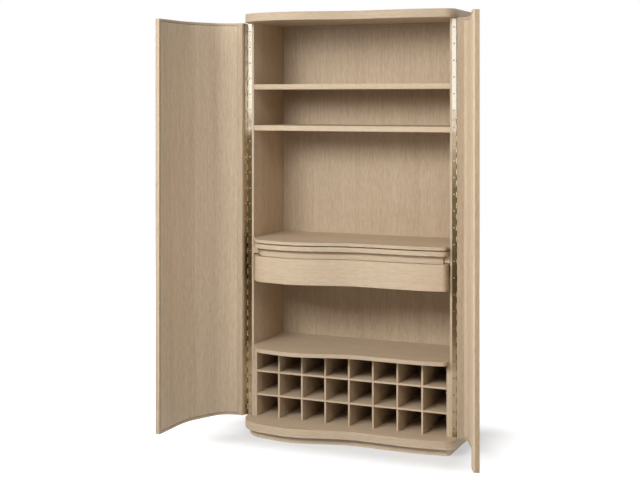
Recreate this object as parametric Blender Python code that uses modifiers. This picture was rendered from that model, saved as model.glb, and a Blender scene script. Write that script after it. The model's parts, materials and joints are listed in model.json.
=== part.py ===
"""Tall bar cabinet: a serpentine front, two curved doors, shelves, a tray, a drawer and a bottle rack.

Metres, +Z up. The cabinet faces -Y. X = 0 is its middle, Y = 0 the front edge of the side panels and
Z = 0 the floor. The doors stand open.
"""

import math

import bmesh
import bpy
from mathutils import Vector

# Carcass
INNER_WIDTH = 0.986  # between the side panels
SIDE_THICKNESS = 0.030
SIDE_DEPTH = 0.351  # front edge of a side panel to the back of the cabinet
BACK_THICKNESS = 0.009
BOARD_THICKNESS = 0.038  # top and base boards
INNER_HEIGHT = 1.898  # between the base and top boards
PLINTH_HEIGHT = 0.033
PLINTH_INSET = 0.024
PLINTH_RAIL = 0.022
STRETCHER_WIDTH = 0.070
CLEAT_HEIGHT = 0.010
CLEAT_DEPTH = 0.014
SEAT = 0.0003  # between pieces that touch

# Serpentine front, drawn on the front edge of the top and base boards
OVERHANG = 0.007  # boards past the side panels and past the closed doors
LEFT_CORNER = 0.158  # radius
LEFT_CORNER_CENTRE = 0.020  # behind the side panels' front edge
LEFT_CREST_AT = -0.483  # share of the boards' half width
LEFT_CREST_REACH = 0.155  # in front of the side panels' front edge
RECESS_AT = 0.140
RECESS_REACH = 0.0895
RIGHT_CREST_AT = 0.566
RIGHT_CREST_REACH = 0.095
RIGHT_CORNER = 0.049  # radius
RIGHT_CORNER_CENTRE = 0.030  # in front of the side panels' front edge
SHOULDER = math.radians(8)  # slope of the front where it leaves either corner

# Doors
DOOR_THICKNESS = 0.024
DOOR_EDGE = 0.030  # thickness at the hinge
DOOR_EDGE_RUN = 0.060  # how far the thick hinge edge goes before it thins
DOOR_TAPER_RUN = 0.110  # how far it takes to thin
DOOR_GAP = 0.003  # between the doors
DOOR_TOP_GAP = 0.0015
DOOR_BOTTOM_GAP = 0.0045
STILE_RUN = 0.040  # solid stile at the hinge, along the outer face
LIPPING = 0.013
LEFT_OPEN = math.radians(106)  # how far the left door stands open
RIGHT_OPEN = math.radians(107)
INNER_CLEARANCE = 0.006  # between a closed door and the boards behind it

# Continuous hinges
LEAF_WIDTH = 0.022  # from the pin's axis
LEAF_THICKNESS = 0.0012
PIN_RADIUS = 0.0012
PIN_PLAY = 0.0003
LEAF_GAP = 0.0006  # between the leaves of a closed hinge
HINGE_END_GAP = 0.004  # above and below a hinge
AXIS_OUTSET = 0.0026  # pin's axis outside the side panels
KNUCKLES = 75
KNUCKLE_PLAY = 0.0006
CURL_STEPS = 6
CURL_ANGLE = math.radians(318)
PIN_SIDES = 10

# Fixed shelves
SHELF_THICKNESS = 0.025
SHELF_DROPS = (0.321, 0.519)  # undersides, below the top board
SHELF_SETBACK = 0.002

# Deck, tray and drawer, above the base board
DECK_HEIGHT = 0.847
DECK_THICKNESS = 0.015
TRAY_THICKNESS = 0.021
TRAY_GAP = 0.005  # below the deck
TRAY_SIDE_GAP = 0.002
TRAY_BACK_GAP = 0.017
BEARER_WIDTH = 0.027
BEARER_HEIGHT = 0.034
BEARER_FRONT = -0.003
BEARER_BACK_GAP = 0.027
NOSE_CORNER = 0.025  # rounded right-hand front corner of the inner boards
NOSE_START = 0.001  # how far behind the side panels' front edge the nose begins
DRAWER_FRONT_HEIGHT = 0.120
DRAWER_FRONT_THICKNESS = 0.022
FINGER_GAP = 0.038  # tray to drawer front
GRIP_SETBACK = 0.004  # behind the drawer front
GRIP_THICKNESS = 0.014
GRIP_FLANGE = 0.002  # front of the rail's straight ends
DRAWER_SIDE_GAP = 0.005  # drawer front to side panel
DRAWER_BOARD = 0.012
DRAWER_BACK_GAP = 0.042  # behind the drawer
DRAWER_BOX_HEIGHT = 0.090
DRAWER_BOX_RISE = 0.014  # box above the bottom of the drawer front
DRAWER_BOTTOM = 0.006
DRAWER_BOTTOM_RISE = 0.010
DRAWER_HOUSING = 0.002  # back of the drawer front's thick ends, which hold the sides
DRAWER_REBATE = 0.004  # how far the thick ends reach inside the sides

# Telescopic drawer slides
SLIDE_WIDTH = 0.0127
SLIDE_HEIGHT = 0.045
SLIDE_FRONT = 0.005
SLIDE_BACK_GAP = 0.005  # short of the drawer's back
SLIDE_METAL = 0.0014
SLIDE_PLAY = 0.0004
SLIDE_RISE = 0.036  # centre of the slide above the drawer front's bottom edge

# Bottle rack
RACK_TOP_HEIGHT = 0.3265  # underside above the base board
RACK_TOP_THICKNESS = 0.0185
RACK_SETBACK = 0.002
UPRIGHT_THICKNESS = 0.0165
DIVIDER_THICKNESS = 0.0085
ROW_THICKNESS = 0.009
COLUMNS = 8
ROWS = 3
LOWEST_ROW = 0.101  # underside above the base board
ROW_PITCH = 0.1127

# Finishes: base colour, roughness, metallic
OAK = ((0.60, 0.46, 0.32), 0.55, 0.0)
OAK_EDGE = ((0.68, 0.55, 0.41), 0.55, 0.0)
BRASS = ((0.78, 0.62, 0.34), 0.30, 1.0)
STEEL = ((0.62, 0.63, 0.64), 0.35, 1.0)

# Heights and places that follow from them
HALF_INNER = INNER_WIDTH / 2
HALF_OUTER = HALF_INNER + SIDE_THICKNESS
HALF_BOARD = HALF_OUTER + OVERHANG
BASE_TOP = PLINTH_HEIGHT + BOARD_THICKNESS
CEILING = BASE_TOP + INNER_HEIGHT
INNER_DEPTH = SIDE_DEPTH - BACK_THICKNESS
LEFT_CREST = (LEFT_CREST_AT * HALF_BOARD, -LEFT_CREST_REACH)
RECESS = (RECESS_AT * HALF_BOARD, -RECESS_REACH)
RIGHT_CREST = (RIGHT_CREST_AT * HALF_BOARD, -RIGHT_CREST_REACH)

AXIS_Y = -(SEAT + LEAF_THICKNESS + LEAF_GAP / 2)
DOOR_END = 2 * AXIS_Y  # Y of a closed door's hinge edge
CURL_RADIUS = PIN_RADIUS + PIN_PLAY + LEAF_THICKNESS / 2
BARREL_RADIUS = CURL_RADIUS + LEAF_THICKNESS / 2
AXIS_X = HALF_OUTER + AXIS_OUTSET
DOOR_LOW = BASE_TOP + DOOR_BOTTOM_GAP
DOOR_HIGH = CEILING - DOOR_TOP_GAP

DECK_LOW = BASE_TOP + DECK_HEIGHT
TRAY_HIGH = DECK_LOW - TRAY_GAP
TRAY_LOW = TRAY_HIGH - TRAY_THICKNESS
DRAWER_HIGH = TRAY_LOW - FINGER_GAP
DRAWER_LOW = DRAWER_HIGH - DRAWER_FRONT_HEIGHT
DRAWER_HALF = HALF_INNER - SLIDE_WIDTH  # outer face of a drawer side
DRAWER_BACK = INNER_DEPTH - DRAWER_BACK_GAP
RACK_CEILING = BASE_TOP + RACK_TOP_HEIGHT
RACK_HALF = HALF_INNER - SEAT - UPRIGHT_THICKNESS  # inner face of a rack upright
COLUMN_PITCH = (2 * RACK_HALF + DIVIDER_THICKNESS) / COLUMNS


def clear_scene():
    for obj in list(bpy.data.objects):
        bpy.data.objects.remove(obj, do_unlink=True)


clear_scene()
cabinet = bpy.data.collections.new("tall_cabinet")
bpy.context.scene.collection.children.link(cabinet)


def finish(obj, look):
    """Give a piece its own material."""
    colour, roughness, metallic = look
    material = bpy.data.materials.new(obj.name)
    material.use_nodes = True
    shader = material.node_tree.nodes["Principled BSDF"]
    shader.inputs["Base Color"].default_value = (*colour, 1)
    shader.inputs["Roughness"].default_value = roughness
    shader.inputs["Metallic"].default_value = metallic
    obj.data.materials.clear()
    obj.data.materials.append(material)


def place(name, mesh, look, parent=None, location=(0, 0, 0), rotation=(0, 0, 0)):
    """Put a mesh in the cabinet as a named piece, smooth where its faces turn gently."""
    obj = bpy.data.objects.new(name, mesh)
    cabinet.objects.link(obj)
    obj.parent = parent
    obj.location = location
    obj.rotation_euler = rotation
    mesh.shade_smooth()
    mesh.set_sharp_from_angle(angle=math.radians(25))
    finish(obj, look)
    return obj


def box(name, x, y, z, look, parent=None):
    """A square board between two planes each way."""
    bm = bmesh.new()
    bmesh.ops.create_cube(bm, size=1)
    bmesh.ops.scale(bm, vec=(x[1] - x[0], y[1] - y[0], z[1] - z[0]), verts=bm.verts)
    mesh = bpy.data.meshes.new(name)
    bm.to_mesh(mesh)
    bm.free()
    middle = (sum(x) / 2, sum(y) / 2, sum(z) / 2)
    return place(name, mesh, look, parent, middle)


def extruded(name, outline, thickness):
    """The mesh of a flat outline, thickened evenly to both sides of its plane."""
    curve = bpy.data.curves.new(name, "CURVE")
    curve.dimensions = "2D"
    curve.fill_mode = "BOTH"
    curve.extrude = thickness / 2
    spline = curve.splines.new("POLY")
    spline.points.add(len(outline) - 1)
    for point, (x, y) in zip(spline.points, outline):
        point.co = (x, y, 0, 1)
    spline.use_cyclic_u = True
    obj = bpy.data.objects.new(name, curve)
    bpy.context.scene.collection.objects.link(obj)
    depsgraph = bpy.context.evaluated_depsgraph_get()
    mesh = bpy.data.meshes.new_from_object(obj.evaluated_get(depsgraph))
    bpy.data.objects.remove(obj, do_unlink=True)
    bpy.data.curves.remove(curve)
    bm = bmesh.new()
    bm.from_mesh(mesh)
    bmesh.ops.remove_doubles(bm, verts=bm.verts, dist=0.00001)
    bmesh.ops.recalc_face_normals(bm, faces=bm.faces)
    bm.to_mesh(mesh)
    bm.free()
    return mesh


def slab(name, outline, low, high, look, parent=None):
    """A board cut to an outline in plan, from one height to another."""
    mesh = extruded(name, outline, high - low)
    return place(name, mesh, look, parent, (0, 0, (low + high) / 2))


def upright(name, outline, left, right, look):
    """A board cut to an outline seen from the side (y, z)."""
    mesh = extruded(name, outline, right - left)
    quarter = math.pi / 2
    return place(name, mesh, look, None, ((left + right) / 2, 0, 0), (quarter, 0, quarter))


def runner(name, outline, front, back, look):
    """A long section drawn from the front (x, z) that runs from front to back."""
    mesh = extruded(name, outline, back - front)
    return place(name, mesh, look, None, (0, (front + back) / 2, 0), (math.pi / 2, 0, 0))


def arc(centre, radius, start, end, steps):
    """Points and inward normals along an arc, from one angle to another."""
    out = []
    for i in range(steps + 1):
        angle = start + (end - start) * i / steps
        outward = Vector((math.cos(angle), math.sin(angle)))
        out.append((Vector(centre) + outward * radius, -outward))
    return out


def sweep(start, start_slope, end, end_slope, steps):
    """Points and inward normals along a smooth rise or fall between two points of the front."""
    (x0, y0), (x1, y1) = start, end
    run = x1 - x0
    out = []
    for i in range(1, steps):
        t = i / steps
        y = (
            (1 + 2 * t) * (1 - t) ** 2 * y0
            + t * (1 - t) ** 2 * run * start_slope
            + t * t * (3 - 2 * t) * y1
            + t * t * (t - 1) * run * end_slope
        )
        slope = (
            6 * t * (1 - t) * (y1 - y0) / run
            + (1 - t) * (1 - 3 * t) * start_slope
            + t * (3 * t - 2) * end_slope
        )
        out.append((Vector((x0 + run * t, y)), Vector((-slope, 1)).normalized()))
    return out


def serpentine():
    """The front edge of the top and base boards, left to right, as points with inward normals."""
    half_turn = math.pi
    left_centre = (LEFT_CORNER - HALF_BOARD, LEFT_CORNER_CENTRE)
    right_centre = (HALF_BOARD - RIGHT_CORNER, -RIGHT_CORNER_CENTRE)
    left = arc(left_centre, LEFT_CORNER, half_turn, 1.5 * half_turn - SHOULDER, 10)
    right = arc(right_centre, RIGHT_CORNER, 1.5 * half_turn + SHOULDER, 2 * half_turn, 7)
    slope = math.tan(SHOULDER)
    sides = [(Vector((HALF_BOARD, LEFT_CORNER_CENTRE)), Vector((-1, 0)))]
    crest = [(Vector(LEFT_CREST), Vector((0, 1)))]
    recess = [(Vector(RECESS), Vector((0, 1)))]
    second_crest = [(Vector(RIGHT_CREST), Vector((0, 1)))]
    return (
        left
        + sweep(left[-1][0], -slope, LEFT_CREST, 0, 5)
        + crest
        + sweep(LEFT_CREST, 0, RECESS, 0, 12)
        + recess
        + sweep(RECESS, 0, RIGHT_CREST, 0, 6)
        + second_crest
        + sweep(RIGHT_CREST, 0, right[0][0], slope, 6)
        + right
        + sides
    )


FRONT = serpentine()
RUNS = [0.0]
for (a, _), (b, _) in zip(FRONT, FRONT[1:]):
    RUNS.append(RUNS[-1] + (b - a).length)


def at(run, inset):
    """The point of the front at a distance from its left end, moved inwards."""
    last = len(RUNS) - 2
    i = next((k for k in range(last) if RUNS[k + 1] >= run), last)
    t = (run - RUNS[i]) / (RUNS[i + 1] - RUNS[i])
    (p, n), (q, m) = FRONT[i], FRONT[i + 1]
    return p.lerp(q, t) + n.lerp(m, t).normalized() * inset(run)


def where(axis, value, inset, low, high):
    """The distance along the front at which the inset line crosses a value of x (0) or y (1)."""
    rising = at(high, inset)[axis] > at(low, inset)[axis]
    for _ in range(40):
        middle = (low + high) / 2
        if (at(middle, inset)[axis] < value) == rising:
            low = middle
        else:
            high = middle
    return (low + high) / 2


def line(inset, start, end):
    """The inset front between two distances along it, with every knot in between."""
    inner = [run for run in RUNS if start + 0.0005 < run < end - 0.0005]
    return [tuple(at(run, inset)) for run in [start, *inner, end]]


def steady(distance):
    return lambda run: distance


def door_inner(run):
    """Inset of the doors' inner faces: thick at either hinge, then thinning."""
    from_hinge = min(run, RUNS[-1] - run) - LEFT_CORNER_CENTRE
    t = min(1, max(0, (from_hinge - DOOR_EDGE_RUN) / DOOR_TAPER_RUN))
    eased = t * t * (3 - 2 * t)
    return OVERHANG + DOOR_EDGE + (DOOR_THICKNESS - DOOR_EDGE) * eased


def nose_inset(run):
    """Inset of the boards behind the doors."""
    return door_inner(run) + INNER_CLEARANCE


MIDDLE = where(0, 0, steady(0), RUNS[5], RUNS[-5])
LEFT_END = RUNS[0]
RIGHT_END = RUNS[-1]
RIGHT_TURN = RUNS[-9]  # where the front enters the right-hand corner


def nose(extra, half):
    """Front of a board behind the doors, set further back by extra and rounded at its right end."""

    def inset(run):
        return nose_inset(run) + extra

    side = min(half, HALF_BOARD - nose_inset(LEFT_END))
    start = where(1, 0, inset, LEFT_END, MIDDLE)
    if at(start, inset).x < -side:
        start = where(0, -side, inset, LEFT_END, MIDDLE)
    end = where(0, side - NOSE_CORNER, inset, MIDDLE, RIGHT_TURN)
    points = line(inset, start, end)
    x, y = points[-1]
    radius = min(NOSE_CORNER, -y)
    turn = arc((x, y + radius), radius, 1.5 * math.pi, 2 * math.pi, 5)
    return points + [tuple(p) for p, _ in turn[1:]] + [(x + radius, 0)]


def nosed_board(name, low, high, half, back, look):
    """A board between the side panels whose front follows the closed doors."""
    outline = [(-half, back), (-half, NOSE_START)]
    outline += nose(0, half)
    outline += [(half, NOSE_START), (half, back)]
    return slab(name, outline, low, high, look)


# Top and base boards
for board, low in (("base_board", PLINTH_HEIGHT), ("top_board", CEILING)):
    edge = line(steady(0), LEFT_END, RIGHT_END)
    outline = [(-HALF_BOARD, SIDE_DEPTH), *edge, (HALF_BOARD, SIDE_DEPTH)]
    slab(board, outline, low, low + BOARD_THICKNESS, OAK)

# Recessed plinth: a rail that follows the front, two side rails, a back rail and a middle stretcher
plinth_outer = line(steady(PLINTH_INSET), LEFT_END, RIGHT_END)
plinth_inner = line(steady(PLINTH_INSET + PLINTH_RAIL), LEFT_END, RIGHT_END)
plinth_top = PLINTH_HEIGHT - SEAT
rail_outer = HALF_BOARD - PLINTH_INSET
slab("plinth_front", plinth_outer + plinth_inner[::-1], 0, plinth_top, OAK_EDGE)
plinth_back = SIDE_DEPTH - PLINTH_INSET
rail_start = LEFT_CORNER_CENTRE + SEAT
box(
    "plinth_left",
    (-rail_outer, PLINTH_RAIL - rail_outer),
    (rail_start, plinth_back),
    (0, plinth_top),
    OAK_EDGE,
)
box(
    "plinth_right",
    (rail_outer - PLINTH_RAIL, rail_outer),
    (rail_start, plinth_back),
    (0, plinth_top),
    OAK_EDGE,
)
rail_inner = rail_outer - PLINTH_RAIL - SEAT
box(
    "plinth_back",
    (-rail_inner, rail_inner),
    (plinth_back - PLINTH_RAIL, plinth_back),
    (0, plinth_top),
    OAK_EDGE,
)
behind_rail = steady(PLINTH_INSET + PLINTH_RAIL + SEAT)
stretcher_half = STRETCHER_WIDTH / 2
stretcher_back = plinth_back - PLINTH_RAIL - SEAT
ends = [where(0, x, behind_rail, RUNS[5], RIGHT_TURN) for x in (-stretcher_half, stretcher_half)]
outline = line(behind_rail, *ends)
outline += [(stretcher_half, stretcher_back), (-stretcher_half, stretcher_back)]
slab("plinth_stretcher", outline, 0, plinth_top, OAK_EDGE)

# Sides and back
panel_z = (BASE_TOP + SEAT, CEILING - SEAT)
box("left_side", (-HALF_OUTER, -HALF_INNER), (0, SIDE_DEPTH), panel_z, OAK)
box("right_side", (HALF_INNER, HALF_OUTER), (0, SIDE_DEPTH), panel_z, OAK)
back_half = HALF_INNER - SEAT
box("back_panel", (-back_half, back_half), (INNER_DEPTH, SIDE_DEPTH), panel_z, OAK)
box(
    "ceiling_cleat",
    (-back_half, back_half),
    (INNER_DEPTH - SEAT - CLEAT_DEPTH, INNER_DEPTH - SEAT),
    (CEILING - SEAT - CLEAT_HEIGHT, CEILING - SEAT),
    OAK_EDGE,
)

# Two shelves fixed between the sides
shelf_y = (SHELF_SETBACK, INNER_DEPTH - SEAT)
for shelf, drop in zip(("upper_shelf", "lower_shelf"), SHELF_DROPS):
    low = CEILING - drop
    box(shelf, (-back_half, back_half), shelf_y, (low, low + SHELF_THICKNESS), OAK)

# Fixed deck, pull-out tray on two bearers, and the curved rail behind the finger gap
inner_back = INNER_DEPTH - SEAT
nosed_board("deck", DECK_LOW, DECK_LOW + DECK_THICKNESS, HALF_INNER - SEAT, inner_back, OAK)
nosed_board(
    "tray",
    TRAY_LOW,
    TRAY_HIGH,
    HALF_INNER - TRAY_SIDE_GAP,
    INNER_DEPTH - TRAY_BACK_GAP,
    OAK,
)
bearer_z = (TRAY_LOW - SEAT - BEARER_HEIGHT, TRAY_LOW - SEAT)
bearer_y = (BEARER_FRONT, INNER_DEPTH - BEARER_BACK_GAP)
bearer_inner = HALF_INNER - SEAT - BEARER_WIDTH
box("left_bearer", (SEAT - HALF_INNER, -bearer_inner), bearer_y, bearer_z, OAK_EDGE)
box("right_bearer", (bearer_inner, HALF_INNER - SEAT), bearer_y, bearer_z, OAK_EDGE)


def across(inset, flat, half):
    """A line from one side to the other that follows the inset front wherever it lies in front of
    a flat line."""
    start = where(1, flat, inset, LEFT_END, MIDDLE)
    end = RIGHT_TURN
    if at(end, inset).y > flat:
        end = where(1, flat, inset, MIDDLE, RIGHT_TURN)
    short = [at(start, inset).x > -half, at(end, inset).x < half]
    if not short[0]:
        start = where(0, -half, inset, LEFT_END, MIDDLE)
    if not short[1]:
        end = where(0, half, inset, MIDDLE, RIGHT_TURN)
    return [(-half, flat)] * short[0] + line(inset, start, end) + [(half, flat)] * short[1]


def grip_front(run):
    return nose_inset(run) + DRAWER_FRONT_THICKNESS + GRIP_SETBACK


def grip_back(run):
    return grip_front(run) + GRIP_THICKNESS


def drawer_front_back(run):
    return nose_inset(run) + DRAWER_FRONT_THICKNESS


grip_half = bearer_inner - SEAT
outline = across(grip_front, GRIP_FLANGE, grip_half)
outline += across(grip_back, GRIP_FLANGE + GRIP_THICKNESS, grip_half)[::-1]
slab("grip_rail", outline, DRAWER_HIGH + SEAT, TRAY_LOW - SEAT, OAK)

# Drawer: curved front with thick ends, two sides, a back and a thin bottom
front_half = HALF_INNER - DRAWER_SIDE_GAP
side_inner = DRAWER_HALF - DRAWER_BOARD
hollow_half = side_inner - DRAWER_REBATE
outline = nose(0, front_half)
outline += [(front_half, DRAWER_HOUSING), (hollow_half, DRAWER_HOUSING)]
outline += across(drawer_front_back, DRAWER_HOUSING, hollow_half)[::-1]
outline += [(-hollow_half, DRAWER_HOUSING), (-front_half, DRAWER_HOUSING)]
slab("drawer_front", outline, DRAWER_LOW, DRAWER_HIGH, OAK_EDGE)
box_y = (DRAWER_HOUSING + SEAT, DRAWER_BACK)
box_z = (DRAWER_LOW + DRAWER_BOX_RISE, DRAWER_LOW + DRAWER_BOX_RISE + DRAWER_BOX_HEIGHT)
box("drawer_left", (-DRAWER_HALF, -side_inner), box_y, box_z, OAK_EDGE)
box("drawer_right", (side_inner, DRAWER_HALF), box_y, box_z, OAK_EDGE)
inside = side_inner - SEAT
bottom_z = (box_z[0] + DRAWER_BOTTOM_RISE, box_z[0] + DRAWER_BOTTOM_RISE + DRAWER_BOTTOM)
back_y = (DRAWER_BACK - DRAWER_BOARD, DRAWER_BACK)
box("drawer_back", (-inside, inside), back_y, (bottom_z[1] + SEAT, box_z[1]), OAK_EDGE)


def bottom_front(run):
    return drawer_front_back(run) + SEAT


bottom_flat = DRAWER_HOUSING + SEAT
bottom_half = hollow_half - SEAT
outline = [(-inside, DRAWER_BACK), (-inside, bottom_flat), (-bottom_half, bottom_flat)]
outline += across(bottom_front, bottom_flat, bottom_half)
outline += [(bottom_half, bottom_flat), (inside, bottom_flat), (inside, DRAWER_BACK)]
slab("drawer_bottom", outline, *bottom_z, OAK_EDGE)


def channel(web, mouth, half_height, middle, side):
    """A folded channel seen from the front: its web at one x, its flanges reaching to another."""
    inner = half_height - SLIDE_METAL
    step = SLIDE_METAL if mouth > web else -SLIDE_METAL
    outline = [
        (web, -half_height),
        (mouth, -half_height),
        (mouth, -inner),
        (web + step, -inner),
        (web + step, inner),
        (mouth, inner),
        (mouth, half_height),
        (web, half_height),
    ]
    return [(side * x, middle + z) for x, z in outline]


# Telescopic slides: a member on the side panel, one between, and one on the drawer's side
slide_z = DRAWER_LOW + SLIDE_RISE
outer_web = HALF_INNER - SEAT
middle_web = outer_web - SLIDE_METAL - SLIDE_PLAY
inner_web = DRAWER_HALF + SEAT
slide_step = SLIDE_METAL + SLIDE_PLAY
half_heights = [SLIDE_HEIGHT / 2 - k * slide_step for k in range(3)]
slide_mouth = inner_web + slide_step
inner_mouth = middle_web - slide_step
for side, word in ((-1, "left"), (1, "right")):
    sections = (
        ("fixed", outer_web, slide_mouth, half_heights[0]),
        ("middle", middle_web, slide_mouth, half_heights[1]),
        ("drawer", inner_web, inner_mouth, half_heights[2]),
    )
    for member, web, mouth, half_height in sections:
        outline = channel(web, mouth, half_height, slide_z, side)
        name = f"slide_{member}_{word}"
        runner(name, outline, SLIDE_FRONT, DRAWER_BACK - SLIDE_BACK_GAP, STEEL)

# Bottle rack: a top that follows the front, two uprights, and cross-halved dividers and rows
rack_top_z = (RACK_CEILING, RACK_CEILING + RACK_TOP_THICKNESS)
nosed_board("rack_top", *rack_top_z, HALF_INNER - SEAT, inner_back, OAK)
rack_z = (BASE_TOP + SEAT, RACK_CEILING - SEAT)
rack_y = (RACK_SETBACK, inner_back)
halving = sum(rack_y) / 2
box("rack_left", (SEAT - HALF_INNER, -RACK_HALF), rack_y, rack_z, OAK_EDGE)
box("rack_right", (RACK_HALF, HALF_INNER - SEAT), rack_y, rack_z, OAK_EDGE)
row_lows = [BASE_TOP + LOWEST_ROW + k * ROW_PITCH for k in range(ROWS - 1)]
first_divider = -RACK_HALF - DIVIDER_THICKNESS
divider_lefts = [first_divider + k * COLUMN_PITCH for k in range(1, COLUMNS)]

for k, left in enumerate(divider_lefts, 1):
    outline = [(rack_y[0], rack_z[0]), (rack_y[1], rack_z[0])]
    for low in row_lows:
        bottom = low - SEAT
        top = low + ROW_THICKNESS + SEAT
        slot = halving - SEAT / 2
        outline += [(rack_y[1], bottom), (slot, bottom), (slot, top), (rack_y[1], top)]
    outline += [(rack_y[1], rack_z[1]), (rack_y[0], rack_z[1])]
    upright(f"rack_divider_{k}", outline, left, left + DIVIDER_THICKNESS, OAK_EDGE)

row_half = RACK_HALF - SEAT
for name, low in zip(("rack_row_lower", "rack_row_upper"), row_lows):
    outline = [(row_half, rack_y[1]), (-row_half, rack_y[1]), (-row_half, rack_y[0])]
    for left in divider_lefts:
        near = left - SEAT
        far = left + DIVIDER_THICKNESS + SEAT
        slot = halving + SEAT / 2
        outline += [(near, rack_y[0]), (near, slot), (far, slot), (far, rack_y[0])]
    outline += [(row_half, rack_y[0])]
    slab(name, outline, low, low + ROW_THICKNESS, OAK_EDGE)

# Doors: a curved core with a solid stile at the hinge and lippings on its other three edges
door_outer = steady(OVERHANG)


def cut(axis, value, low, high):
    """Where a plane crosses the doors' outer and inner faces, as two distances along the front."""
    return [where(axis, value, inset, low, high) for inset in (door_outer, door_inner)]


def door_outline(near, far, side):
    """Plan of a piece of door between two cuts, about its hinge's axis."""
    if side > 0:
        near, far = far, near
    outline = line(door_outer, near[0], far[0]) + line(door_inner, near[1], far[1])[::-1]
    return [(x - side * AXIS_X, y - AXIS_Y) for x, y in outline]


LEAF_LOW = BASE_TOP + HINGE_END_GAP
LEAF_HIGH = CEILING - HINGE_END_GAP
KNUCKLE = (LEAF_HIGH - LEAF_LOW) / KNUCKLES


def leaf_path():
    """A leaf in section, from its edge to the end of its curl, for the right-hand cabinet leaf."""
    offset = (LEAF_GAP + LEAF_THICKNESS) / 2
    bend = math.pi - math.asin(offset / CURL_RADIUS)
    path = [(-LEAF_WIDTH, offset), (-BARREL_RADIUS - PIN_PLAY, offset)]
    for k in range(CURL_STEPS + 1):
        angle = bend - CURL_ANGLE * k / CURL_STEPS
        path.append((CURL_RADIUS * math.cos(angle), CURL_RADIUS * math.sin(angle)))
    return path


def leaf(name, across, through, first, parent, location):
    """A hinge leaf: a flat strip whose tabs curl round the pin, every other knuckle."""
    path = [(-across * x, through * y) for x, y in leaf_path()]
    levels = [LEAF_LOW]
    for k in range(KNUCKLES):
        low = LEAF_LOW + k * KNUCKLE
        levels += [low + KNUCKLE_PLAY / 2, low + KNUCKLE - KNUCKLE_PLAY / 2]
    levels.append(LEAF_HIGH)
    bm = bmesh.new()
    column = [bm.verts.new((*path[0], z)) for z in levels]
    edges = [bm.edges.new(pair) for pair in zip(column, column[1:])]
    for k, (start, end) in enumerate(zip(path, path[1:])):
        if k == 1:
            edges = edges[1 + 2 * first :: 4]
        made = bmesh.ops.extrude_edge_only(bm, edges=edges)["geom"]
        moved = [item for item in made if isinstance(item, bmesh.types.BMVert)]
        bmesh.ops.translate(bm, vec=(end[0] - start[0], end[1] - start[1], 0), verts=moved)
        edges = [item for item in made if isinstance(item, bmesh.types.BMEdge)]
        edges = [edge for edge in edges if all(vert in moved for vert in edge.verts)]
        edges.sort(key=lambda edge: edge.verts[0].co.z)
    bmesh.ops.recalc_face_normals(bm, faces=bm.faces)
    mesh = bpy.data.meshes.new(name)
    bm.to_mesh(mesh)
    bm.free()
    obj = place(name, mesh, BRASS, parent, location)
    wall = obj.modifiers.new("sheet", "SOLIDIFY")
    wall.thickness = LEAF_THICKNESS
    wall.offset = 0
    wall.use_even_offset = True
    return obj


for side, word, swing in ((-1, "left", LEFT_OPEN), (1, "right", RIGHT_OPEN)):
    hang = bpy.data.objects.new(f"{word}_door_axis", None)
    cabinet.objects.link(hang)
    hang.location = (side * AXIS_X, AXIS_Y, 0)
    hang.rotation_euler = (0, 0, side * swing)

    hinge_half = (LEFT_END, MIDDLE) if side < 0 else (MIDDLE, RIGHT_END)
    hinge_cut = cut(1, DOOR_END, *hinge_half)
    stile_cut = [hinge_cut[0] - side * STILE_RUN] * 2
    panel_cut = [run - side * SEAT for run in stile_cut]
    edge_cut = cut(0, side * DOOR_GAP / 2, RUNS[5], RIGHT_TURN)
    lipping_cut = cut(0, side * (DOOR_GAP / 2 + LIPPING), RUNS[5], RIGHT_TURN)
    core_cut = cut(0, side * (DOOR_GAP / 2 + LIPPING + SEAT), RUNS[5], RIGHT_TURN)

    full = (DOOR_LOW, DOOR_HIGH)
    core_z = (DOOR_LOW + LIPPING + SEAT, DOOR_HIGH - LIPPING - SEAT)
    core = door_outline(panel_cut, core_cut, side)
    slab(f"{word}_door_stile", door_outline(hinge_cut, stile_cut, side), *full, OAK_EDGE, hang)
    slab(f"{word}_door_core", core, *core_z, OAK, hang)
    slab(f"{word}_door_lipping", door_outline(lipping_cut, edge_cut, side), *full, OAK_EDGE, hang)
    slab(f"{word}_door_top", core, DOOR_HIGH - LIPPING, DOOR_HIGH, OAK_EDGE, hang)
    slab(f"{word}_door_bottom", core, DOOR_LOW, DOOR_LOW + LIPPING, OAK_EDGE, hang)

    leaf(f"{word}_door_leaf", -side, -1, 1, hang, (0, 0, 0))
    leaf(f"{word}_cabinet_leaf", -side, 1, 0, None, (side * AXIS_X, AXIS_Y, 0))
    pin = bmesh.new()
    bmesh.ops.create_cone(
        pin,
        cap_ends=True,
        segments=PIN_SIDES,
        radius1=PIN_RADIUS,
        radius2=PIN_RADIUS,
        depth=LEAF_HIGH - LEAF_LOW,
    )
    pin_body = bpy.data.meshes.new(f"{word}_hinge_pin")
    pin.to_mesh(pin_body)
    pin.free()
    middle = (side * AXIS_X, AXIS_Y, (LEAF_HIGH + LEAF_LOW) / 2)
    place(f"{word}_hinge_pin", pin_body, BRASS, None, middle)
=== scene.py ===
"""Looks of a tall bar cabinet in washed oak, with curved doors on brass hinges.

They go on the cabinet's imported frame, whose shapes stay as they are.
"""

import json
import math

import bpy
from mathutils import Matrix, Vector


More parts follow.
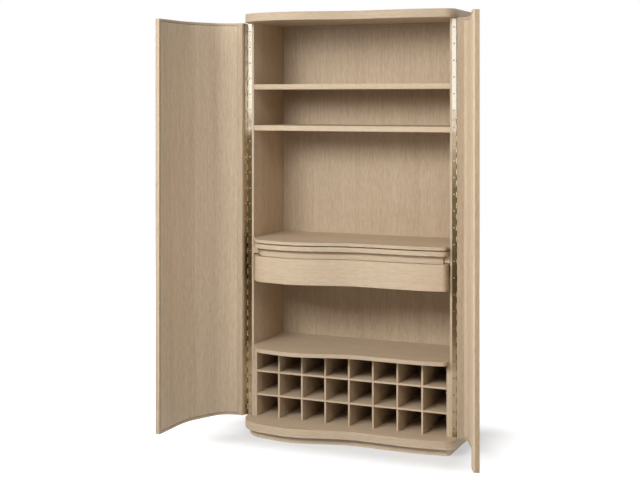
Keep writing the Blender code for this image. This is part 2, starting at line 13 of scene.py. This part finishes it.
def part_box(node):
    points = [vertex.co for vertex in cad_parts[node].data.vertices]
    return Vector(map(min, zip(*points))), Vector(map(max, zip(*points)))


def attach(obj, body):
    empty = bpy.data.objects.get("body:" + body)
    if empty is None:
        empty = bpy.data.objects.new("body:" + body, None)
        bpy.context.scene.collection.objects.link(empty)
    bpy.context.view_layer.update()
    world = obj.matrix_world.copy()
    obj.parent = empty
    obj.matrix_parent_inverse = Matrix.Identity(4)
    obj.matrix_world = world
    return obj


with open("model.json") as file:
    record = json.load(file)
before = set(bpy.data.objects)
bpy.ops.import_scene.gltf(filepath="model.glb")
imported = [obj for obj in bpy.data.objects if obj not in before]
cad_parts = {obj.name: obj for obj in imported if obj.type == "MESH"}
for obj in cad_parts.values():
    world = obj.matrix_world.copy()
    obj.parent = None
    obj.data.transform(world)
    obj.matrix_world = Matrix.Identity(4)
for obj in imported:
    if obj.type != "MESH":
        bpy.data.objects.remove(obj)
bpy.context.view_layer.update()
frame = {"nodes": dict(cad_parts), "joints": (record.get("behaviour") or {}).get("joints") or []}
nodes = frame["nodes"]

# The cabinet as it stands in the photograph: seen from a little to the right, with the eye at
# shoulder height and the picture moved down instead of the camera tilted, so that uprights stay
# upright.
scene = bpy.context.scene
view = bpy.data.objects.new("view", bpy.data.cameras.new("view"))
scene.collection.objects.link(view)
view.location = (2.1068, -5.3185, 1.5938)
view.rotation_euler = (math.radians(90), 0, math.radians(22.95))
view.data.sensor_width = 36
view.data.lens = 68.74
view.data.shift_y = -0.2177
scene.camera = view
scene.view_settings.view_transform = "Standard"


# Side panels and back panel: boards faced with straight-grained oak veneer, washed to a pale
# taupe. The grain is upright, and the leaves of veneer lie side by side, each a little lighter or
# darker than the next.
class Wire:
    """A socket in a node tree, which arithmetic can be done with."""

    def __init__(self, tree, socket=None):
        self.tree = tree
        self.socket = socket

    def add(self, kind, values=None, output=0, stops=(), **settings):
        """A new node of a kind, set up first and then plugged to values or other wires."""
        node = self.tree.nodes.new("ShaderNode" + kind)
        for setting, value in settings.items():
            setattr(node, setting, value)
        for k, (position, colour) in enumerate(stops):
            ramp = node.color_ramp.elements
            stop = ramp[k] if k < len(ramp) else ramp.new(position)
            stop.position = position
            stop.color = (*colour, 1)
        plug(node, values or {})
        return Wire(self.tree, node.outputs[output])

    def math(self, operation, *others):
        """This number after an operation, alone or with others."""
        return self.add("Math", dict(enumerate((self, *others))), operation=operation)

    def vector(self, operation, *others, output=0):
        """This vector or colour after an operation, alone or with others."""
        values = dict(enumerate((self, *others)))
        return self.add("VectorMath", values, output, operation=operation)

    def part(self, axis):
        """One of the three numbers in this vector."""
        return self.add("SeparateXYZ", {0: self}, axis.upper())

    def noise(self, scale, detail, roughness=0.5, turn=None, output=0):
        """Noise over this place, and another one for each turn."""
        values = {"Vector": self, "Scale": scale, "Detail": detail, "Roughness": roughness}
        if turn is None:
            return self.add("TexNoise", values, output)
        return self.add("TexNoise", {**values, "W": turn}, output, noise_dimensions="4D")

    def ramp(self, low, high):
        """This number spread so that low becomes 0 and high becomes 1."""
        return self.add("MapRange", {0: self, 1: low, 2: high}, interpolation_type="SMOOTHSTEP")

    def mix(self, a, b):
        """A blend of two colours, a where this number is 0 and b where it is 1."""
        # Sockets of a Mix node share their names, so they go by number: 6 and 7 are colours.
        a, b = (end if isinstance(end, Wire) else (*end, 1) for end in (a, b))
        return self.add("Mix", {0: self, 6: a, 7: b}, 2, data_type="RGBA")

    def bump(self, strength, distance):
        """This height as a shader's Normal."""
        return self.add("Bump", {"Strength": strength, "Distance": distance, "Height": self})

    def __add__(self, other):
        return self.math("ADD", other)

    __radd__ = __add__

    def __sub__(self, other):
        return self.math("SUBTRACT", other)

    def __rsub__(self, other):
        return self.add("Math", {0: other, 1: self}, operation="SUBTRACT")

    def __mul__(self, other):
        return self.math("MULTIPLY", other)

    __rmul__ = __mul__

    def __truediv__(self, other):
        return self.math("DIVIDE", other)

    def __rtruediv__(self, other):
        return self.add("Math", {0: other, 1: self}, operation="DIVIDE")


def plug(node, values):
    """Set a node's sockets to plain values, or link them to wires."""
    for socket, value in values.items():
        if isinstance(value, Wire):
            value.tree.links.new(value.socket, node.inputs[socket])
        else:
            node.inputs[socket].default_value = value


def finish(name):
    """A new material, its shader, and a wire with the place on the piece."""
    material = bpy.data.materials.new(name)
    material.use_nodes = True
    tree = material.node_tree
    return material, tree.nodes["Principled BSDF"], Wire(tree).add("TexCoord", output="Object")


PALE_OAK = (0.630, 0.510, 0.372)
WARM_OAK = (0.480, 0.366, 0.250)
OAK_PORE = (0.320, 0.232, 0.152)
BANDS, RINGS, FLECKS, FIBRES, PORES = 11, 75, 150, 420, 1150  # to the metre, across the grain
LONG = 0.022  # how much slower the figure changes along the grain than across it
FLECK = 0.18  # the same for the short flecks
SPREAD = (0.36, 0.64)  # the levels of the noise between which a figure comes in
RING_SPREAD = (0.34, 0.66)
PORE_SPREAD = (0.60, 0.74)
BAND_SHARE, RING_SHARE, FLECK_SHARE, FIBRE_SHARE = 0.22, 0.26, 0.42, 0.12  # of the warm colour
PORE_SHARE = 0.42  # of the pores' colour
LEAF_WIDTH = 0.10
LEAF_SHARE = 0.14  # of the warm colour, from the palest leaf to the warmest
LEAF_TURN = 4  # how unlike each other the leaves' figures are
WANDER = 0.035  # how far the grain strays from a straight line
WANDERS = 1.6  # to the metre
WANDER_TURN = 7  # keeps the wander unlike the figure that it bends
LEVEL = 0.7  # a face lies flat where the Z of its normal is above this
CROSS_CONTRAST, CROSS_WARMTH = 0.65, 0.18  # of boards with their grain across the cabinet
GLUE_LINE = 0.0003  # half of the width over which an outer layer's shade comes in


def oak(name, grain, seed, leaf_axis=None, tone=1.0, layer=None):
    """Washed oak with its grain along an axis, and perhaps with leaves side by side along another.

    The tone makes it lighter or darker than the rest. A layer is the way inwards, how far along it
    the outer layer ends, and that layer's shade.
    """
    material, shader, place = finish(name)
    pale, warm = (tuple(tone * channel for channel in colour) for colour in (PALE_OAK, WARM_OAK))
    drift = place.noise(WANDERS, 1.0, turn=seed + WANDER_TURN, output="Color")
    drift = drift.vector("SUBTRACT", (0.5, 0.5, 0.5)).vector("MULTIPLY", (WANDER, WANDER, WANDER))
    bent = place.vector("ADD", drift)
    if grain == "x":
        lying = place.add("TexCoord", output="Normal").part("z").math("ABSOLUTE")
        lying = lying.math("GREATER_THAN", LEVEL)

    def stretched(length):
        """The place on the board, drawn out along the grain, which also follows a curved edge."""
        along = {"x": (length, length, 1), "y": (1, length, 1), "z": (1, 1, length)}[grain]
        if grain == "x":
            # Sockets 4 and 5 are vectors: one for standing faces, and one for those that lie.
            faces = {0: lying, 4: along, 5: (length, 1, 1)}
            along = lying.add("Mix", faces, 1, data_type="VECTOR")
        return bent.vector("MULTIPLY", along)

    turn = seed
    if leaf_axis:
        count = (place.part(leaf_axis) / LEAF_WIDTH).math("FLOOR")
        leaf = count.add("TexWhiteNoise", {"W": count + seed}, noise_dimensions="1D")
        turn = leaf * LEAF_TURN + seed

    along = stretched(LONG)
    bands = along.noise(BANDS, 2.0, turn=turn)
    rings = along.noise(RINGS, 3.0, 0.6, turn)
    flecks = stretched(FLECK).noise(FLECKS, 2.0, 0.6, turn)
    fibres = along.noise(FIBRES, 2.0, turn=turn)
    pores = along.noise(PORES, 0.0, turn=turn).ramp(*PORE_SPREAD)

    figure = bands.ramp(*SPREAD) * BAND_SHARE + rings.ramp(*RING_SPREAD) * RING_SHARE
    figure = figure + flecks.ramp(*SPREAD) * FLECK_SHARE + fibres * FIBRE_SHARE
    if leaf_axis:
        figure = figure + leaf * LEAF_SHARE - LEAF_SHARE / 2
    if grain == "x":
        figure = figure * CROSS_CONTRAST + CROSS_WARMTH
    colour = figure.math("MAXIMUM", 0.0).math("MINIMUM", 1.0).mix(pale, warm)
    colour = (pores * PORE_SHARE).mix(colour, OAK_PORE)
    if layer:
        inwards, depth, shade = layer
        inside = place.vector("DOT_PRODUCT", inwards, output="Value")
        outer = colour.vector("MULTIPLY", shade)
        colour = inside.ramp(depth + GLUE_LINE, depth - GLUE_LINE).mix(colour, outer)
    relief = fibres * 0.35 + rings * 0.35 - pores * 0.6
    plug(shader, {
        "Base Color": colour,
        "Roughness": 0.50 + fibres * 0.16 + pores * 0.1,
        "Specular IOR Level": 0.35,
        "Normal": relief.bump(0.35, 0.0004),
    })
    return material


TOUCHING = 0.00002  # corners nearer than this are one corner
CRISP = math.radians(28)  # an edge that turns by more than this stays crisp


def weld_tree():
    """Joins a board's loose faces and shades it smooth, except over its corners."""
    tree = bpy.data.node_groups.new("joined and smooth", "GeometryNodeTree")
    tree.interface.new_socket("Board", in_out="INPUT", socket_type="NodeSocketGeometry")
    for label, value in (("Reach", TOUCHING), ("Corner", CRISP)):
        socket = tree.interface.new_socket(label, in_out="INPUT", socket_type="NodeSocketFloat")
        socket.default_value = value
    tree.interface.new_socket("Board", in_out="OUTPUT", socket_type="NodeSocketGeometry")
    given = tree.nodes.new("NodeGroupInput")
    result = tree.nodes.new("NodeGroupOutput")
    joined = tree.nodes.new("GeometryNodeMergeByDistance")
    smooth = tree.nodes.new("GeometryNodeSetShadeSmooth")
    angle = tree.nodes.new("GeometryNodeInputMeshEdgeAngle")
    over = tree.nodes.new("FunctionNodeCompare")
    over.operation = "GREATER_THAN"
    crisp = tree.nodes.new("GeometryNodeSetShadeSmooth")
    crisp.domain = "EDGE"
    crisp.inputs["Shade Smooth"].default_value = False
    for source, target in (
        (given.outputs["Board"], joined.inputs["Geometry"]),
        (given.outputs["Reach"], joined.inputs["Distance"]),
        (joined.outputs["Geometry"], smooth.inputs["Geometry"]),
        (smooth.outputs["Geometry"], crisp.inputs["Geometry"]),
        (angle.outputs["Unsigned Angle"], over.inputs[0]),
        (given.outputs["Corner"], over.inputs[1]),
        (over.outputs["Result"], crisp.inputs["Selection"]),
        (crisp.outputs["Geometry"], result.inputs["Board"]),
    ):
        tree.links.new(source, target)
    return tree


JOINED = weld_tree()
EASED = math.radians(40)  # an edge that turns by more than this is eased


def dress(name, material, ease=0.0):
    """Give a piece of the frame its finish, with its corners eased by a radius."""
    piece = nodes[name]
    piece.data.materials.clear()
    piece.data.materials.append(material)
    joined = piece.modifiers.new("joined", "NODES")
    joined.node_group = JOINED
    if ease:
        eased = piece.modifiers.new("eased", "BEVEL")
        eased.width = ease
        eased.segments = 2
        eased.limit_method = "ANGLE"
        eased.angle_limit = EASED
        eased.harden_normals = True


for side, seed in (("left_side", 1.0), ("right_side", 2.0)):
    dress(side, oak(f"oak veneer of the {side}", "z", seed, leaf_axis="y"), ease=0.0010)
dress("back_panel", oak("oak veneer of the back", "z", 3.0, leaf_axis="x", tone=0.90))

# Top and base boards: the same veneer with its grain across the cabinet, on both faces and round
# the edge, which follows the serpentine front. A narrow cleat under the top board holds the back.
dress("top_board", oak("oak veneer of the top board", "x", 4.0, tone=0.90), ease=0.0016)
dress("base_board", oak("oak veneer of the base board", "x", 5.0), ease=0.0016)
dress("ceiling_cleat", oak("oak of the cleat", "x", 5.5), ease=0.0005)

# Plinth: rails of solid oak set back under the base board, the front one bent to the same curve,
# with a stretcher in the middle that runs from it to the back rail.
plinth = oak("oak of the plinth", "x", 6.0)
for rail in ("plinth_front", "plinth_back", "plinth_stretcher"):
    dress(rail, plinth, ease=0.0008)
for rail in ("plinth_left", "plinth_right"):
    dress(rail, oak(f"oak of the {rail}", "y", 6.5), ease=0.0008)

# Shelves: two thick boards with straight front edges, fixed between the sides. They are veneered
# like the rest, the upper one in a slightly darker leaf and the lower one in a lighter.
for shelf, seed, tone in (("upper_shelf", 8.0, 0.98), ("lower_shelf", 9.0, 1.06)):
    dress(shelf, oak(f"oak veneer of the {shelf}", "x", seed, tone=tone), ease=0.0009)

# Deck, tray and finger gap: a fixed deck over a tray of the same outline that pulls out on two
# bearers, and the curved rail that closes the gap behind them.
dress("deck", oak("oak veneer of the deck", "x", 10.0), ease=0.0016)
dress("tray", oak("oak veneer of the tray", "x", 11.0), ease=0.0018)
dress("grip_rail", oak("oak veneer of the rail", "x", 12.0), ease=0.0006)
for bearer, seed in (("left_bearer", 13.0), ("right_bearer", 13.5)):
    dress(bearer, oak(f"oak of the {bearer}", "y", seed), ease=0.0008)

# Drawer: a bent front faced with veneer whose grain runs across, and behind it a box of plain oak
# boards that is open at the top.
dress("drawer_front", oak("oak veneer of the drawer front", "x", 14.0, tone=1.03), ease=0.0007)
dress("drawer_left", oak("oak of the drawer's left side", "y", 15.0), ease=0.0008)
dress("drawer_right", oak("oak of the drawer's right side", "y", 15.5), ease=0.0008)
dress("drawer_back", oak("oak of the drawer's back", "x", 16.0), ease=0.0008)
dress("drawer_bottom", oak("oak of the drawer's bottom", "x", 17.0))

# Drawer slides: rolled steel channels, zinc plated, one inside the next. The outer ones are fixed
# to the side panels and the inner ones to the drawer, and the middle ones run between them.
DULL_ZINC = (0.47, 0.46, 0.44)
BRIGHT_ZINC = (0.62, 0.61, 0.59)
ROLLED = (1, 0.02, 1)  # the marks of rolling are drawn out along the channel
zinc, shader, place = finish("zinc plate")
marks = place.vector("MULTIPLY", ROLLED).noise(900, 2.0)
plug(shader, {
    "Base Color": place.noise(45, 3.0).mix(DULL_ZINC, BRIGHT_ZINC),
    "Metallic": 1.0,
    "Roughness": 0.30 + marks * 0.18,
    "Normal": marks.bump(0.2, 0.0002),
})
for member in ("fixed", "middle", "drawer"):
    for side in ("left", "right"):
        dress(f"slide_{member}_{side}", zinc)

# Bottle rack: thin boards slotted into each other, eight bottles wide and three high, between two
# uprights and under a top that follows the front.
dress("rack_top", oak("oak veneer of the rack's top", "x", 18.0), ease=0.0014)
for side, seed in (("left", 19.0), ("right", 19.5)):
    dress(f"rack_{side}", oak(f"oak of the rack's {side} upright", "z", seed), ease=0.0006)
for k in range(1, 8):
    dress(f"rack_divider_{k}", oak(f"oak of rack divider {k}", "z", 20.0 + k), ease=0.0005)
for row, seed in (("lower", 30.0), ("upper", 31.0)):
    dress(f"rack_row_{row}", oak(f"oak of the rack's {row} row", "x", seed), ease=0.0005)

# Doors: bent boards faced with upright leaves of veneer, with a solid stile at the hinge. Lippings
# close the other three edges. The free end's lipping has its outer band darkened as painted shade
# on the end face, which leaves the inner band paler, and a dark seam shows where the top and
# bottom ones meet the veneer.
# how far in from the lipping's inner face it stays clear of the painted shade
UNSHADED_INNER_BAND = 0.008
SEAM = 0.002
SEAM_SHADE = (0.50, 0.45, 0.40)

# The free end's lipping is painted lighter on the right door and darker on the left, lit and
# shaded copies of one oak, and the shade darkens its outer band as painted shade.
for side, seed, inwards, tone, shade in (
    ("left", 40.0, (0.961, -0.276, 0), 0.74, (0.97, 0.94, 0.90)),
    ("right", 50.0, (-0.956, -0.292, 0), 1.18, (0.68, 0.62, 0.56)),
):
    core = oak(f"oak veneer of the {side} door", "z", seed, leaf_axis="y")
    dress(f"{side}_door_core", core, ease=0.0014)
    stile = oak(f"oak of the {side} door's stile", "z", seed + 1, tone=0.89)
    dress(f"{side}_door_stile", stile, ease=0.0008)
    lipping = f"{side}_door_lipping"
    face = max(Vector(inwards).dot(corner.co) for corner in nodes[lipping].data.vertices)
    layer = (inwards, face - UNSHADED_INNER_BAND, shade)
    lipping_painted_light = oak(f"oak of the {side} door's lipping", "z", seed + 2, tone=tone, layer=layer)
    dress(lipping, lipping_painted_light, ease=0.0008)
    for end, outwards in (("top", 1), ("bottom", -1)):
        lipping = f"{side}_door_{end}"
        seam = min(outwards * corner.co.z for corner in nodes[lipping].data.vertices) + SEAM
        layer = ((0, 0, outwards), seam, SEAM_SHADE)
        border = oak(f"oak of the {side} door's {end}", "x", seed + 3, tone=0.86, layer=layer)
        dress(lipping, border, ease=0.0014)

# Continuous hinges: long leaves of brushed brass from top to bottom of each door, with knuckles
# rolled round a pin. Their colour changes up the hinge as a painted reflection of bright and dark
# surroundings, and the cabinet's leaves are painted brightest at the top.
joints = {joint["name"]: joint for joint in frame["joints"]}
HINGE_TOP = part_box("left_cabinet_leaf")[1].z


def by_height(height, tones):
    """A colour that changes up the hinge, from tones at heights in metres."""
    stops = [(level / HINGE_TOP, tone) for level, tone in tones]
    return height.add("ValToRGB", {0: height / HINGE_TOP}, stops=stops)


BRUSHED = (1, 1, 0.015)  # the brush's lines are drawn out up the hinge
KNUCKLE = (0.0030, 0.0042)  # from the pin's axis, where the knuckles' shade ends
# The clouds are noise that shifts where the painted reflection's tones change up the hinge.
CLOUD_HEIGHT = 0.25  # how far up or down the clouds of tarnish carry a tone


def brass_with_painted_reflection(name, pin, tones, knuckle_shade):
    """Brass, brushed, with a painted reflection up the hinge and painted beads on its knuckles."""
    material, shader, place = finish(f"brass with painted reflection of the {name}")
    lines = place.vector("MULTIPLY", BRUSHED).noise(1500, 2.0)
    clouds = place.noise(14, 4.0) - 0.5
    colour = by_height(place.part("z") + clouds * CLOUD_HEIGHT, tones)
    off_pin = place.vector("SUBTRACT", (pin.x, pin.y, 0)).vector("MULTIPLY", (1, 1, 0))
    off_pin = off_pin.vector("LENGTH", output="Value")
    rolled = colour.vector("MULTIPLY", knuckle_shade)
    plug(shader, {
        "Base Color": off_pin.ramp(*KNUCKLE).mix(rolled, colour),
        "Metallic": 1.0,
        "Roughness": 0.20 + lines * 0.12 + clouds * 0.06,
        "Normal": lines.bump(0.25, 0.0002),
    })
    return material


# Painted reflections up each leaf, as tones at heights in metres: light and dark bands that stand
# in for the lamps, the room and the floor mirrored in the brass.
CABINET_LEAF_PAINTED_REFLECTION = {
    "left": (
        (0.12, (0.31, 0.24, 0.145)),
        (0.28, (0.41, 0.315, 0.185)),
        (0.46, (0.16, 0.11, 0.05)),
        (0.70, (0.085, 0.055, 0.020)),
        (1.43, (0.20, 0.15, 0.08)),
        (1.55, (0.93, 0.87, 0.75)),
    ),
    "right": (
        (0.36, (0.30, 0.22, 0.13)),
        (0.55, (0.10, 0.06, 0.025)),
        (0.76, (0.065, 0.038, 0.015)),
        (1.16, (0.16, 0.12, 0.06)),
        (1.44, (0.50, 0.39, 0.27)),
        (1.56, (0.90, 0.82, 0.70)),
    ),
}
DOOR_LEAF_PAINTED_REFLECTION = (
    (0.25, (0.53, 0.43, 0.29)),
    (0.80, (0.36, 0.26, 0.14)),
    (1.35, (0.54, 0.42, 0.27)),
    (1.60, (0.36, 0.30, 0.22)),
)
# Painted beads along the pin: the cabinet's knuckles are darkened as painted shade and the door's
# are kept light as painted highlights, so that the two alternate.
KNUCKLE_PAINTED_SHADE = (0.42, 0.40, 0.36)
KNUCKLE_PAINTED_HIGHLIGHT = (0.86, 0.85, 0.82)
for side, tones in CABINET_LEAF_PAINTED_REFLECTION.items():
    pin = Vector(joints[f"{side}_door_hinge"]["pos_m"])
    brass = brass_with_painted_reflection(f"{side} cabinet leaf", pin, tones, KNUCKLE_PAINTED_SHADE)
    dress(f"{side}_cabinet_leaf", brass)
    dress(f"{side}_hinge_pin", brass)
    brass = brass_with_painted_reflection(f"{side} door leaf", pin, DOOR_LEAF_PAINTED_REFLECTION, KNUCKLE_PAINTED_HIGHLIGHT)
    dress(f"{side}_door_leaf", brass)

# Hinge screws: countersunk brass screws with a cross recess, one column down each leaf, set nearly
# flush so that the door can close. Their heads carry a painted reflection that changes up the
# hinge: darker than the leaf's bright end and than its foot, and painted glints brighter than the
# leaf in its dark middle.
SCREW_PAINTED_REFLECTION = (
    (0.50, (0.065, 0.042, 0.022)),
    (0.70, (0.24, 0.19, 0.12)),
    (1.10, (0.62, 0.52, 0.35)),
    (1.38, (0.80, 0.70, 0.50)),
    (1.50, (0.17, 0.13, 0.08)),
)
SCREW_GRIME = (0.10, 0.075, 0.045)
screw_brass, shader, place = finish("screw brass")
turned_lines = place.noise(2200, 1.0)
plug(shader, {
    "Base Color": (turned_lines * 0.4).mix(by_height(place.part("z"), SCREW_PAINTED_REFLECTION), SCREW_GRIME),
    "Metallic": 1.0,
    "Roughness": 0.30 + turned_lines * 0.15,
})
SCREWS = 25
HEAD_RADIUS = 0.0040
HEAD_THICKNESS = 0.0006
HEAD_PROUD = 0.00012
HEAD_SIDES = 20
HEAD_RIM = 0.9  # the face's radius as a share of the head's
RECESS_LENGTH, RECESS_WIDTH = 1.15, 0.26  # as shares of the head's radius
SCREW_COLUMN = 0.0130  # from the pin's axis
LEAF_FACE = 0.0003  # leaf's face from the pin's axis
leaf_low, leaf_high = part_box("left_cabinet_leaf")
SCREW_PITCH = (leaf_high.z - leaf_low.z) / SCREWS


def screw_tree():
    """A column of screws up Z whose heads face -Y."""
    tree = bpy.data.node_groups.new("column of screws", "GeometryNodeTree")
    tree.interface.new_socket("Base", in_out="INPUT", socket_type="NodeSocketGeometry")
    for label, value, kind in (
        ("Count", SCREWS, "Int"),
        ("Pitch", SCREW_PITCH, "Float"),
        ("Radius", HEAD_RADIUS, "Float"),
        ("Thickness", HEAD_THICKNESS, "Float"),
        ("Brass", screw_brass, "Material"),
    ):
        socket = tree.interface.new_socket(label, in_out="INPUT", socket_type="NodeSocket" + kind)
        socket.default_value = value
    tree.interface.new_socket("Screws", in_out="OUTPUT", socket_type="NodeSocketGeometry")
    given = tree.nodes.new("NodeGroupInput")
    result = tree.nodes.new("NodeGroupOutput")
    head = tree.nodes.new("GeometryNodeMeshCone")
    head.inputs["Vertices"].default_value = HEAD_SIDES
    rim = tree.nodes.new("ShaderNodeMath")
    rim.operation = "MULTIPLY"
    rim.inputs[1].default_value = HEAD_RIM
    slots = []
    for long_axis in ("X", "Y"):
        slot = tree.nodes.new("GeometryNodeMeshCube")
        size = tree.nodes.new("ShaderNodeCombineXYZ")
        for axis in "XYZ":
            share = tree.nodes.new("ShaderNodeMath")
            share.operation = "MULTIPLY"
            share.inputs[1].default_value = RECESS_LENGTH if axis == long_axis else RECESS_WIDTH
            tree.links.new(given.outputs["Radius"], share.inputs[0])
            tree.links.new(share.outputs[0], size.inputs[axis])
        tree.links.new(size.outputs[0], slot.inputs["Size"])
        slots.append(slot)
    cross = tree.nodes.new("GeometryNodeMeshBoolean")
    cross.operation = "UNION"
    raised = tree.nodes.new("GeometryNodeTransform")
    lift = tree.nodes.new("ShaderNodeCombineXYZ")
    recess = tree.nodes.new("GeometryNodeMeshBoolean")
    recess.operation = "DIFFERENCE"
    upright = tree.nodes.new("GeometryNodeTransform")
    upright.inputs["Rotation"].default_value = (math.radians(90), 0, 0)
    column = tree.nodes.new("GeometryNodeMeshLine")
    step = tree.nodes.new("ShaderNodeCombineXYZ")
    on_points = tree.nodes.new("GeometryNodeInstanceOnPoints")
    real = tree.nodes.new("GeometryNodeRealizeInstances")
    painted = tree.nodes.new("GeometryNodeSetMaterial")
    for source, target in (
        (given.outputs["Radius"], head.inputs["Radius Bottom"]),
        (given.outputs["Radius"], rim.inputs[0]),
        (rim.outputs[0], head.inputs["Radius Top"]),
        (given.outputs["Thickness"], head.inputs["Depth"]),
        (slots[0].outputs["Mesh"], cross.inputs["Mesh 2"]),
        (slots[1].outputs["Mesh"], cross.inputs["Mesh 2"]),
        (cross.outputs["Mesh"], raised.inputs["Geometry"]),
        (given.outputs["Thickness"], lift.inputs["Z"]),
        (lift.outputs[0], raised.inputs["Translation"]),
        (head.outputs["Mesh"], recess.inputs["Mesh 1"]),
        (raised.outputs["Geometry"], recess.inputs["Mesh 2"]),
        (recess.outputs["Mesh"], upright.inputs["Geometry"]),
        (given.outputs["Count"], column.inputs["Count"]),
        (given.outputs["Pitch"], step.inputs["Z"]),
        (step.outputs[0], column.inputs["Offset"]),
        (column.outputs["Mesh"], on_points.inputs["Points"]),
        (upright.outputs["Geometry"], on_points.inputs["Instance"]),
        (on_points.outputs["Instances"], real.inputs["Geometry"]),
        (real.outputs["Geometry"], painted.inputs["Geometry"]),
        (given.outputs["Brass"], painted.inputs["Material"]),
        (painted.outputs["Geometry"], result.inputs["Screws"]),
    ):
        tree.links.new(source, target)
    return tree


def grown(name, tree, place):
    """The mesh that a tree makes, moved to its place."""
    blank = bpy.data.objects.new(name, bpy.data.meshes.new(name))
    scene.collection.objects.link(blank)
    modifier = blank.modifiers.new("grown", "NODES")
    modifier.node_group = tree
    found = blank.evaluated_get(bpy.context.evaluated_depsgraph_get())
    mesh = bpy.data.meshes.new_from_object(found)
    bpy.data.objects.remove(blank, do_unlink=True)
    mesh.transform(place)
    piece = bpy.data.objects.new(name, mesh)
    scene.collection.objects.link(piece)
    return piece


SCREW_COLUMNS = screw_tree()
for side, hand in (("left", -1), ("right", 1)):
    hinge = joints[f"{side}_door_hinge"]
    pin = Vector(hinge["pos_m"])
    bottom = leaf_low.z + SCREW_PITCH / 2
    axis = Matrix.Translation((pin.x, pin.y, bottom))
    depth = LEAF_FACE - HEAD_PROUD + HEAD_THICKNESS
    on_cabinet = axis @ Matrix.Translation((-hand * SCREW_COLUMN, depth, 0))
    piece = grown(f"{side}_cabinet_screws", SCREW_COLUMNS, on_cabinet)
    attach(piece, "carcass")
    closing = math.radians(hinge["range_deg"][0]) * hinge["axis"][2]
    turned = Matrix.Rotation(-closing, 4, "Z") @ Matrix.Rotation(math.pi, 4, "Z")
    on_door = axis @ turned @ Matrix.Translation((hand * SCREW_COLUMN, depth, 0))
    piece = grown(f"{side}_door_screws", SCREW_COLUMNS, on_door)
    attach(piece, f"{side}_door")

# The studio: a white floor that keeps the cabinet's soft shadow, deepened near the foot by a
# painted shadow where the floor's glow is dimmed, and broad soft lamps in front, above, on both
# sides and behind. The key, the near ones and the one behind are kept out of reflections, because
# the brass would glare, and a small card shows in reflections only.
FLOOR_REACH = 9
FLOOR_GREY = (0.36, 0.36, 0.36, 1)
WHITE = (1, 1, 1, 1)
# The glow is dimmest under the cabinet and rises away from it, a painted shadow round its foot.
FOOT_WHITE_PAINTED_SHADOW, NEAR_WHITE, FAR_WHITE = 0.44, 0.42, 0.14  # under the cabinet, near it and further out
NEAR = (-0.05, 0.24)  # the distances from the base board over which the near white comes in
FAR = (0.10, 0.7)


def in_view(tree):
    """1 for a ray from the camera, a reflection or glass, and 0 for one that lights things."""
    eye, gloss, glass = (
        Wire(tree).add("LightPath", output=f"Is {ray} Ray")
        for ray in ("Camera", "Glossy", "Transmission")
    )
    return eye.math("MAXIMUM", gloss).math("MAXIMUM", glass)


outline = [(x * FLOOR_REACH, y * FLOOR_REACH, 0) for x, y in ((-1, -1), (1, -1), (1, 1), (-1, 1))]
floor_mesh = bpy.data.meshes.new("studio_floor")
floor_mesh.from_pydata(outline, [], [(0, 1, 2, 3)])
floor = bpy.data.objects.new("studio_floor", floor_mesh)
scene.collection.objects.link(floor)
paper, shader, place = finish("white paper")
plug(shader, {"Base Color": FLOOR_GREY, "Roughness": 0.9, "Specular IOR Level": 0.0})
foot_low, foot_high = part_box("base_board")
foot = (foot_low + foot_high) / 2
reach = (foot_high - foot_low) / 2
away = place.vector("SUBTRACT", (foot.x, foot.y, 0)).vector("ABSOLUTE")
away = away.vector("SUBTRACT", (reach.x, reach.y, 0)).vector("MAXIMUM", (0, 0, 0))
away = away.vector("LENGTH", output="Value")
white = FOOT_WHITE_PAINTED_SHADOW + away.ramp(*NEAR) * NEAR_WHITE + away.ramp(*FAR) * FAR_WHITE
glow = away.add("Emission", {"Color": WHITE, "Strength": in_view(paper.node_tree) * white})
both = glow.add("AddShader", {0: Wire(paper.node_tree, shader.outputs[0]), 1: glow})
plug(paper.node_tree.nodes["Material Output"], {"Surface": both})
floor.data.materials.append(paper)

AMBIENT = 0.05
world = bpy.data.worlds.new("studio")
scene.world = world
world.use_nodes = True
strength = in_view(world.node_tree) * (1 - AMBIENT) + AMBIENT
plug(world.node_tree.nodes["Background"], {"Color": WHITE, "Strength": strength})


def softbox(name, place, aim, size, power, mirrored=True, lighting=True):
    """A broad soft lamp that shines towards an aim. It can skip reflections, or light nothing."""
    lamp = bpy.data.lights.new(name, "AREA")
    lamp.shape = "RECTANGLE"
    lamp.size, lamp.size_y = size
    lamp.energy = power
    stand = bpy.data.objects.new(name, lamp)
    scene.collection.objects.link(stand)
    stand.location = place
    stand.rotation_euler = (Vector(aim) - Vector(place)).to_track_quat("-Z", "Y").to_euler()
    stand.visible_glossy = mirrored
    stand.visible_diffuse = lighting


softbox("key", (-1.2, -4.9, 3.4), (0, 0, 1.0), (2.2, 1.6), 106, mirrored=False)
softbox("near", (-1.0, -3.0, 2.4), (0, 0, 1.0), (1.6, 1.0), 46, mirrored=False)
softbox("near left", (-2.4, -3.0, 2.5), (0, 0, 1.0), (1.6, 1.0), 38, mirrored=False)
softbox("high right", (3.4, -4.9, 4.8), (0, 0, 1.0), (2.2, 1.6), 64)
softbox("side", (5.6, -2.1, 0.5), (-0.6, -0.4, 0.7), (2.0, 2.6), 168)
softbox("back", (-1.4, 5.2, 3.2), (0, 0.3, 1.0), (3.4, 2.4), 190, mirrored=False)
softbox("card", (-3.15, -5.4, 1.8), (-0.5, 0, 1.7), (1.3, 1.0), 14, lighting=False)
softbox("far left", (-3.6, -1.9, 1.0), (0.5, -0.4, 0.9), (1.4, 1.8), 55)
